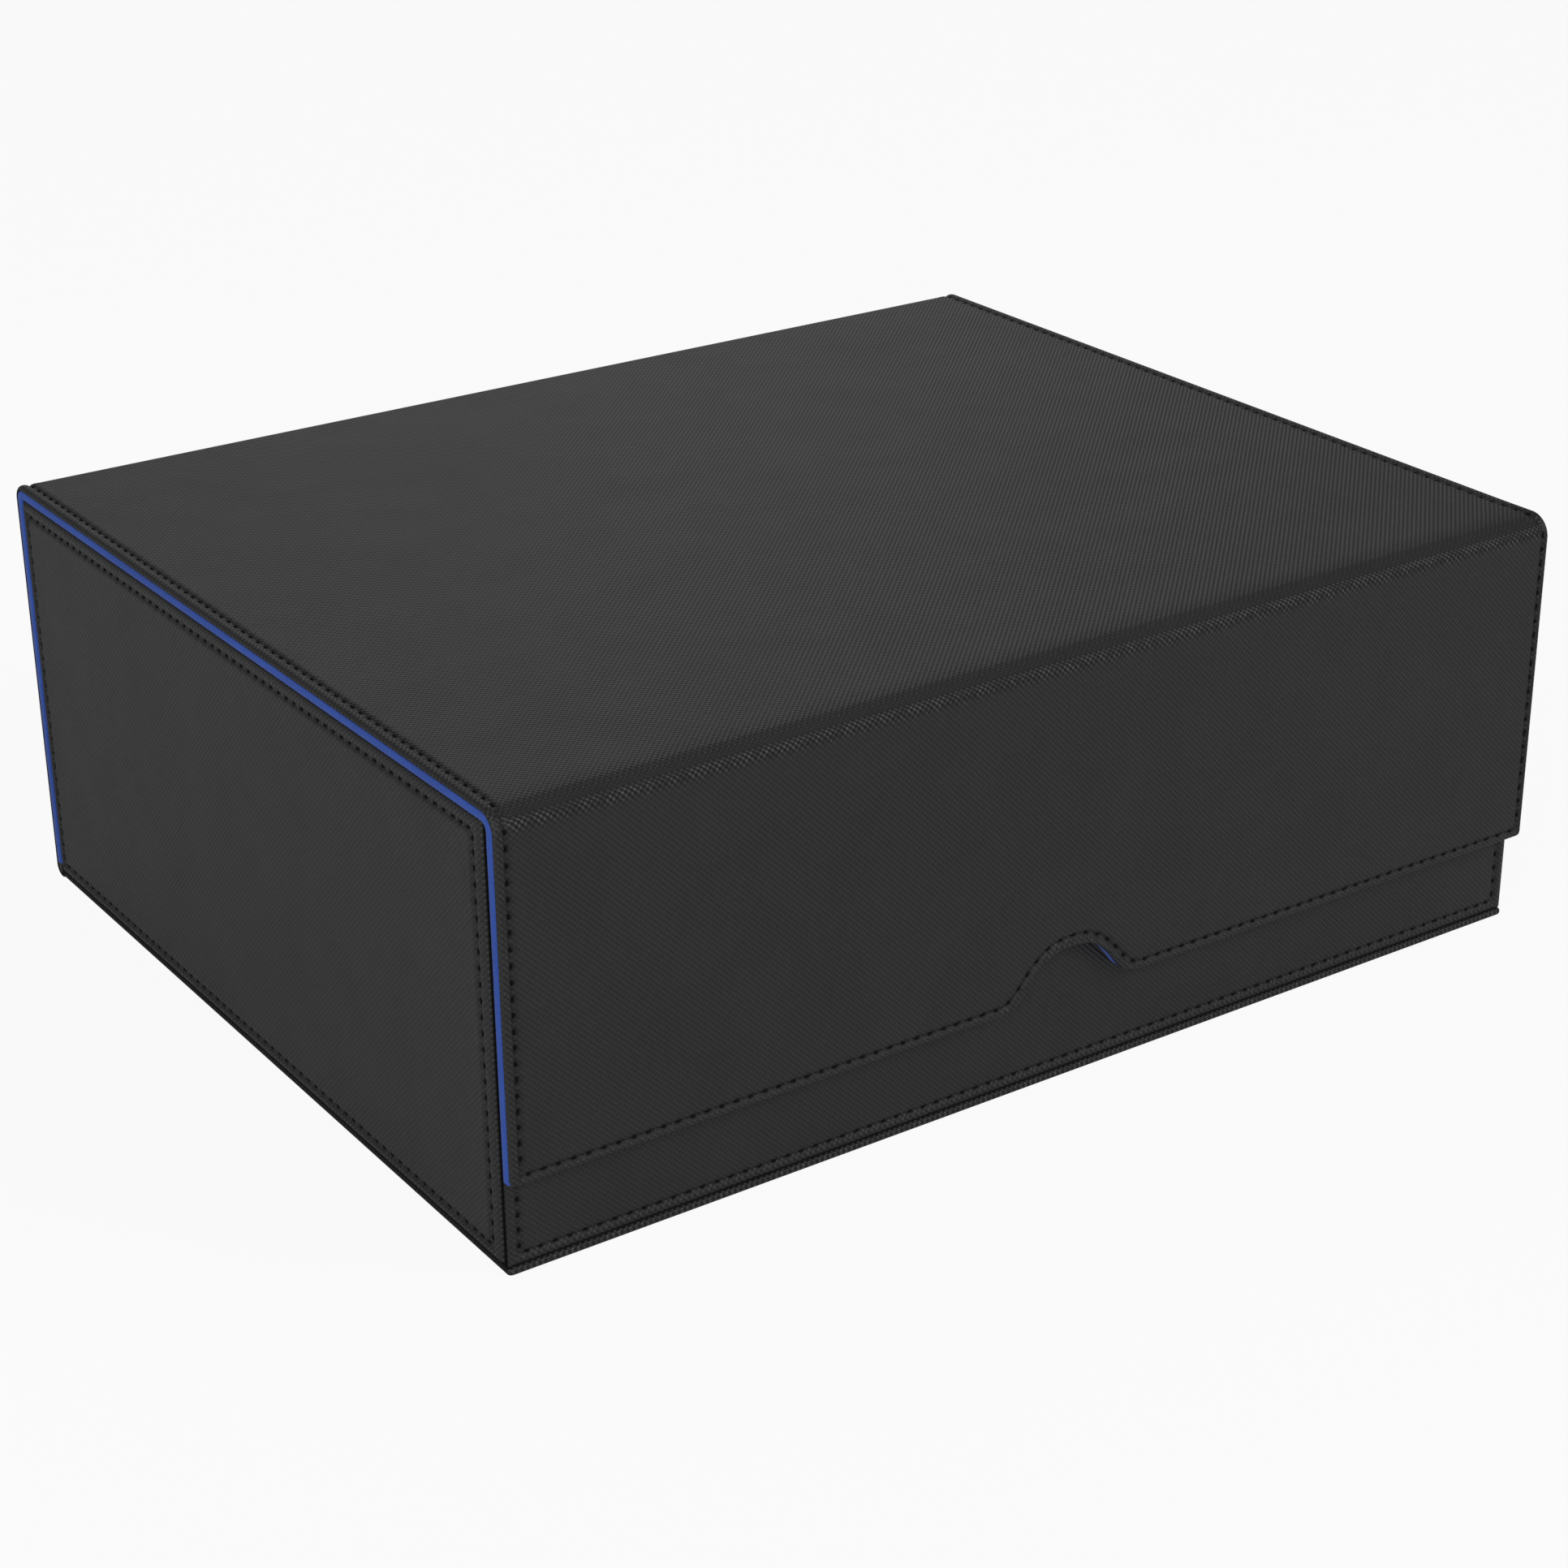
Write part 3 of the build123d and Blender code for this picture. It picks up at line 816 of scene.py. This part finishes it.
# Painted highlight on the bead's front and painted shade on its other sides.
bead_highlight, bead_shade = 0.5, 0.6
reach_u, front_w, back_w = half_width - base_inset, base_bead - tray_front, -tray_back
bm = bmesh.new()
for roll in (base_roll, base_lip):
    face = outline(bm, [(-reach_u, back_w), (reach_u, back_w), (reach_u, front_w),
                        (-reach_u, front_w)], roll[0][1])
    face = rounded(bm, face.verts[:], base_corner_radius, 4)
    roll_edge(bm, face, roll)
bmesh.ops.delete(bm, geom=[face], context="FACES_ONLY")
bmesh.ops.remove_doubles(bm, verts=bm.verts[:], dist=0.001)
cut_lines(bm, evenly(-half_width, half_width, base_facet)[1:-1], axis=0)
cut_lines(bm, evenly(back_w, front_w, base_facet)[1:-1], axis=1)
bmesh.ops.recalc_face_normals(bm, faces=bm.faces[:])
bmesh.ops.solidify(bm, geom=bm.faces[:], thickness=base_thickness)
map_weave(bm)
lay(bm, base_place)
painted_light = bm.verts.layers.float["painted_light"]
# Painted highlight along the front of the bead, and painted shade growing up its sides and back.
for v in bm.verts:
    v[painted_light] = bead_highlight if v.co.y < tray_front + 0.1 else -bead_shade * ease(v.co.z, 0.1, 0.6)
base_leather = finished(bm, "base_leather", leather_finish)
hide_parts("base_skin")
for piece in (left_panel, right_panel, front_panel, base_leather):
    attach(piece, "tray")

# One visible stitch, then all of them on each body
bm = bmesh.new()
bmesh.ops.create_uvsphere(bm, u_segments=8, v_segments=6, radius=0.5,
                          matrix=Matrix.Diagonal((*stitch_size, 1)) @ Matrix.Rotation(pi / 2, 4, "Y"))
one_stitch = bpy.data.meshes.new("one_stitch")
bm.to_mesh(one_stitch)
bm.free()


def sewn(bm, stitches, place, height):
    """Add a row of stitches, each sunk into the sheet and along its direction."""
    small = 0.01
    for spot, way in stitches:
        here = place(spot.x, spot.y, height)
        along = (place(spot.x + way.x * small, spot.y + way.y * small, height) - here).normalized()
        up = (place(spot.x, spot.y, height + small) - here).normalized()
        turn = Matrix((along, up.cross(along), up)).transposed().to_4x4()
        setting = Matrix.Translation(here) @ turn
        one_stitch.transform(setting)
        bm.from_mesh(one_stitch)
        one_stitch.transform(setting.inverted())


def stitching(name, body, rows):
    """All the thread on one body, from rows of stitches, their places and how deep they lie."""
    bm = bmesh.new()
    for stitches, place, height in rows:
        sewn(bm, stitches, place, height)
    piece = finished(bm, name, thread_finish)
    if body:
        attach(piece, body)
    return piece


def moved_row(row, moved):
    """The stitches of a row, after their sheet's points have moved."""
    return [(Vector(moved(*spot)), way) for spot, way in row]


in_leather, in_cloth = -0.42, -0.3  # how deep the stitches lie
cover_stitches = moved_row(cover_rows, wander)
front_half = [stitch for stitch in cover_stitches if stitch[0].y < 0]
back_half = [stitch for stitch in cover_stitches if stitch[0].y >= 0]
lid_back_half = [stitch for stitch in back_half if stitch[0].y < lid_back]
side_stitches = moved_row(side_rows, side_stretch)
mirrored_stitches = [(Vector((-spot.x, spot.y)), way) for spot, way in side_stitches]
front_stitches = moved_row(front_rows, front_stretch)
bend_at_front_fold(stitching("stitching_front", None, [(front_half, cover_place, in_leather)]),
                   front_leather_bend)
bend_at_front_fold(stitching("stitching_front_inside", None, [(front_half, lining_place, in_cloth)]),
                   front_lining_bend)
bend_at_rear_fold(stitching("stitching_back", None, [(back_half, cover_place, in_leather)]),
                  rear_leather_bend)
bend_at_rear_fold(stitching("stitching_back_inside", None, [(lid_back_half, lining_place, in_cloth)]),
                  rear_lining_bend)
stitching("stitching_tray", "tray", [
    (side_stitches, left_place, in_leather), (mirrored_stitches, right_place, in_leather),
    (front_stitches, front_place, in_leather)])


# The microfibre inside the tray
def node_box(node):
    """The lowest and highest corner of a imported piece, in millimetres."""
    return [Vector(corner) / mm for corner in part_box(node)]


def rectangle(reach_u, reach_w):
    """Four corners about the middle."""
    return [(-reach_u, -reach_w), (reach_u, -reach_w), (reach_u, reach_w), (-reach_u, reach_w)]


def cloth(node, facing, up):
    """A lining that fills its own space, with softly rolled edges on its open face."""
    low, high = node_box(node)
    facing, up = Vector(facing), Vector(up)
    across, size = up.cross(facing), high - low
    reach_u, reach_w, thickness = (abs(size.dot(way)) for way in (across / 2, up / 2, facing))
    bm = sheet(rectangle(reach_u, reach_w), cloth_roll, thickness, chamfer=0.1, spacing=12.0)
    lay(bm, flat_place((low + high) / 2 + facing * thickness / 2, across, up))
    piece = finished(bm, node.replace("lining", "cloth"), cloth_finish)
    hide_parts(node)
    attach(piece, "tray")


cloth("left_wall_lining", (1, 0, 0), (0, 0, 1))
cloth("right_wall_lining", (-1, 0, 0), (0, 0, 1))
cloth("front_wall_lining", (0, 1, 0), (0, 0, 1))
cloth("floor_lining", (0, 0, 1), (0, 1, 0))


# The rear wall's lining runs on over the rim to the cover.
wall_cloth, rim_cloth = 0.7, 1.0  # its thickness on the wall and on the rim
low, high = node_box("rear_wall_lining")
bm = bmesh.new()
profile = [(low.y, low.z), (low.y + wall_cloth, low.z), (low.y + wall_cloth, high.z - rim_cloth),
           (high.y, high.z - rim_cloth), (high.y, high.z), (low.y, high.z)]
end_face = bm.faces.new([bm.verts.new((low.x, y, z)) for y, z in profile])
run = bmesh.ops.extrude_face_region(bm, geom=[end_face], use_keep_orig=True)["geom"]
bmesh.ops.translate(bm, verts=[v for v in run if isinstance(v, bmesh.types.BMVert)],
                    vec=(high.x - low.x, 0, 0))
upper = [e for e in bm.edges if all(v.co.y < low.y + 0.01 and v.co.z > high.z - 0.01 for v in e.verts)]
bmesh.ops.bevel(bm, geom=upper, offset=rim_radius, offset_type="OFFSET", segments=5, profile=0.5,
                affect="EDGES", material=-1)
rear_cloth = finished(bm, "rear_wall_cloth", cloth_finish)
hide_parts("rear_wall_lining")
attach(rear_cloth, "tray")


def board_outline(bm, reach, height, corner_radius):
    """A board's outline on its middle plane, with its two upper corners rounded."""
    face = outline(bm, [(-reach, 0), (reach, 0), (reach, height), (-reach, height)], 0)
    upper = [v for v in bm.verts if v.co.y > height - 0.01]
    return rounded(bm, upper, corner_radius, 9) if corner_radius else face


def covered_board(node, name, body, across, corner_radius, roll):
    """A board in microfibre, alike on both faces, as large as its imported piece."""
    low, high = node_box(node)
    across, size = Vector(across), high - low
    reach, thickness = size.dot(across) / 2, abs(size.dot(across.cross((0, 0, 1))))
    bm = bmesh.new()
    face = board_outline(bm, reach, size.z, corner_radius)
    raised = bmesh.ops.extrude_face_region(bm, geom=[face])["geom"]
    top_face = next(f for f in raised if isinstance(f, bmesh.types.BMFace))
    bmesh.ops.translate(bm, verts=top_face.verts[:], vec=(0, 0, thickness / 2 + roll[0][1]))
    roll_edge(bm, top_face, roll)
    middle = [f for f in bm.faces if all(abs(v.co.z) < 0.001 for v in f.verts)]
    bmesh.ops.delete(bm, geom=middle, context="FACES_ONLY")
    bmesh.ops.mirror(bm, geom=bm.verts[:] + bm.edges[:] + bm.faces[:], axis="Z", merge_dist=0.001)
    foot = Vector(((low.x + high.x) / 2, (low.y + high.y) / 2, low.z))
    lay(bm, flat_place(foot, across, (0, 0, 1)))
    piece = finished(bm, name, cloth_finish)
    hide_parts(node)
    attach(piece, body)
    return foot, reach, size.z, thickness


for number in (1, 2, 3):
    covered_board(f"partition_{number}_lining", f"partition_{number}_cloth", "tray", (0, 1, 0), 0,
                  partition_roll)

# The dividers are sewn round their edges, through both faces.
divider_corner, divider_stitch_inset = 6.0, 2.7
for number in (1, 2, 3, 4):
    body = f"divider_{number}"
    foot, reach, height, thickness = covered_board(f"card_{body}", f"covered_{body}", body, (1, 0, 0),
                                                   divider_corner, divider_roll)
    bm = bmesh.new()
    face = board_outline(bm, reach, height, divider_corner)
    bmesh.ops.inset_region(bm, faces=[face], thickness=divider_stitch_inset, use_boundary=True,
                           use_even_offset=True)
    ring = [loop.vert.co.xy for loop in face.loops]
    bm.free()
    row = path_row(ring + ring[:1])
    faces = []
    for way in (1, -1):
        middle = foot - Vector((0, way * thickness / 2, 0))
        faces.append((row, flat_place(middle, (way, 0, 0), (0, 0, 1)), in_cloth))
    stitching(f"stitching_{body}", body, faces)

# Studio: a pale floor that shows white, an even sky and soft lamps
floor_size, floor_drop = 12.0, 0.0002
bm = bmesh.new()
bmesh.ops.create_grid(bm, x_segments=2, y_segments=2, size=floor_size / 2,
                      matrix=Matrix.Translation((0, 0, -floor_drop)))
mesh = bpy.data.meshes.new("floor")
bm.to_mesh(mesh)
bm.free()
floor = bpy.data.objects.new("floor", mesh)
bpy.context.scene.collection.objects.link(floor)
glow_share = 0.92  # how much of the floor the camera sees as plain white
paper, tree, shader, _ = new_material("pale_paper")
feed(tree, shader, {"Base Color": colour(0.8, 0.8, 0.8), "Roughness": 0.9})
glow = add(tree, "Emission", {"Color": colour(1, 1, 1), "Strength": 1.0})
path = add(tree, "LightPath")
seen = maths(tree, "MULTIPLY", path.outputs["Is Camera Ray"], glow_share)
mixed = add(tree, "MixShader", {0: seen, 1: shader.outputs[0], 2: glow.outputs[0]})
tree.links.new(mixed.outputs[0], tree.nodes["Material Output"].inputs["Surface"])
mesh.materials.append(paper)

world = bpy.data.worlds.new("studio")
bpy.context.scene.world = world
world.use_nodes = True
tree = world.node_tree
path = add(tree, "LightPath")
direct = maths(tree, "MAXIMUM", path.outputs["Is Camera Ray"], path.outputs["Is Transmission Ray"])
sky = add(tree, "Background", {"Color": colour(1, 1, 1), "Strength": 0.2})
backdrop = add(tree, "Background", {"Color": colour(1, 1, 1), "Strength": 1.0})
mixed = add(tree, "MixShader", {0: direct, 1: sky.outputs[0], 2: backdrop.outputs[0]})
tree.links.new(mixed.outputs[0], tree.nodes["World Output"].inputs["Surface"])


def lamp(name, place, size, power):
    """A soft square lamp that points at the box."""
    data = bpy.data.lights.new(name, "AREA")
    data.size, data.energy = size, power
    light = bpy.data.objects.new(name, data)
    light.location = place
    light.rotation_mode = "QUATERNION"
    light.rotation_quaternion = (Vector((0, 0, 0.05)) - Vector(place)).to_track_quat("-Z", "Y")
    bpy.context.scene.collection.objects.link(light)


lamp("front_left_lamp", (-1.4, -1.8, 1.4), 1.2, 20.0)
lamp("front_right_lamp", (1.2, -1.5, 1.3), 1.0, 15.0)
lamp("left_lamp", (-2.2, -0.7, 0.9), 1.2, 15.4)
lamp("back_right_lamp", (1.0, 1.8, 1.2), 1.4, 4.0)

# The camera, from a fit to the box's corners and edges in the photograph
focal_pixels, frame_pixels = 4023.31, 1932
camera_place = (-0.437693, -0.648919, 0.390811)
camera = bpy.data.objects.new("camera", bpy.data.cameras.new("camera"))
bpy.context.scene.collection.objects.link(camera)
bpy.context.scene.camera = camera
camera.data.sensor_width = 36.0
camera.data.lens = focal_pixels / frame_pixels * camera.data.sensor_width
camera_right = Vector((0.824484, -0.565834, -0.00754))
camera_forward = Vector((0.51197, 0.751541, -0.416021)).normalized()
camera_up = camera_right.cross(camera_forward).normalized()
camera_right = camera_forward.cross(camera_up)
camera_turn = Matrix((camera_right, camera_up, -camera_forward)).transposed().to_4x4()
camera.matrix_world = Matrix.Translation(camera_place) @ camera_turn
camera.data.clip_start, camera.data.clip_end = 0.01, 50

bpy.context.scene.view_settings.view_transform = "Standard"
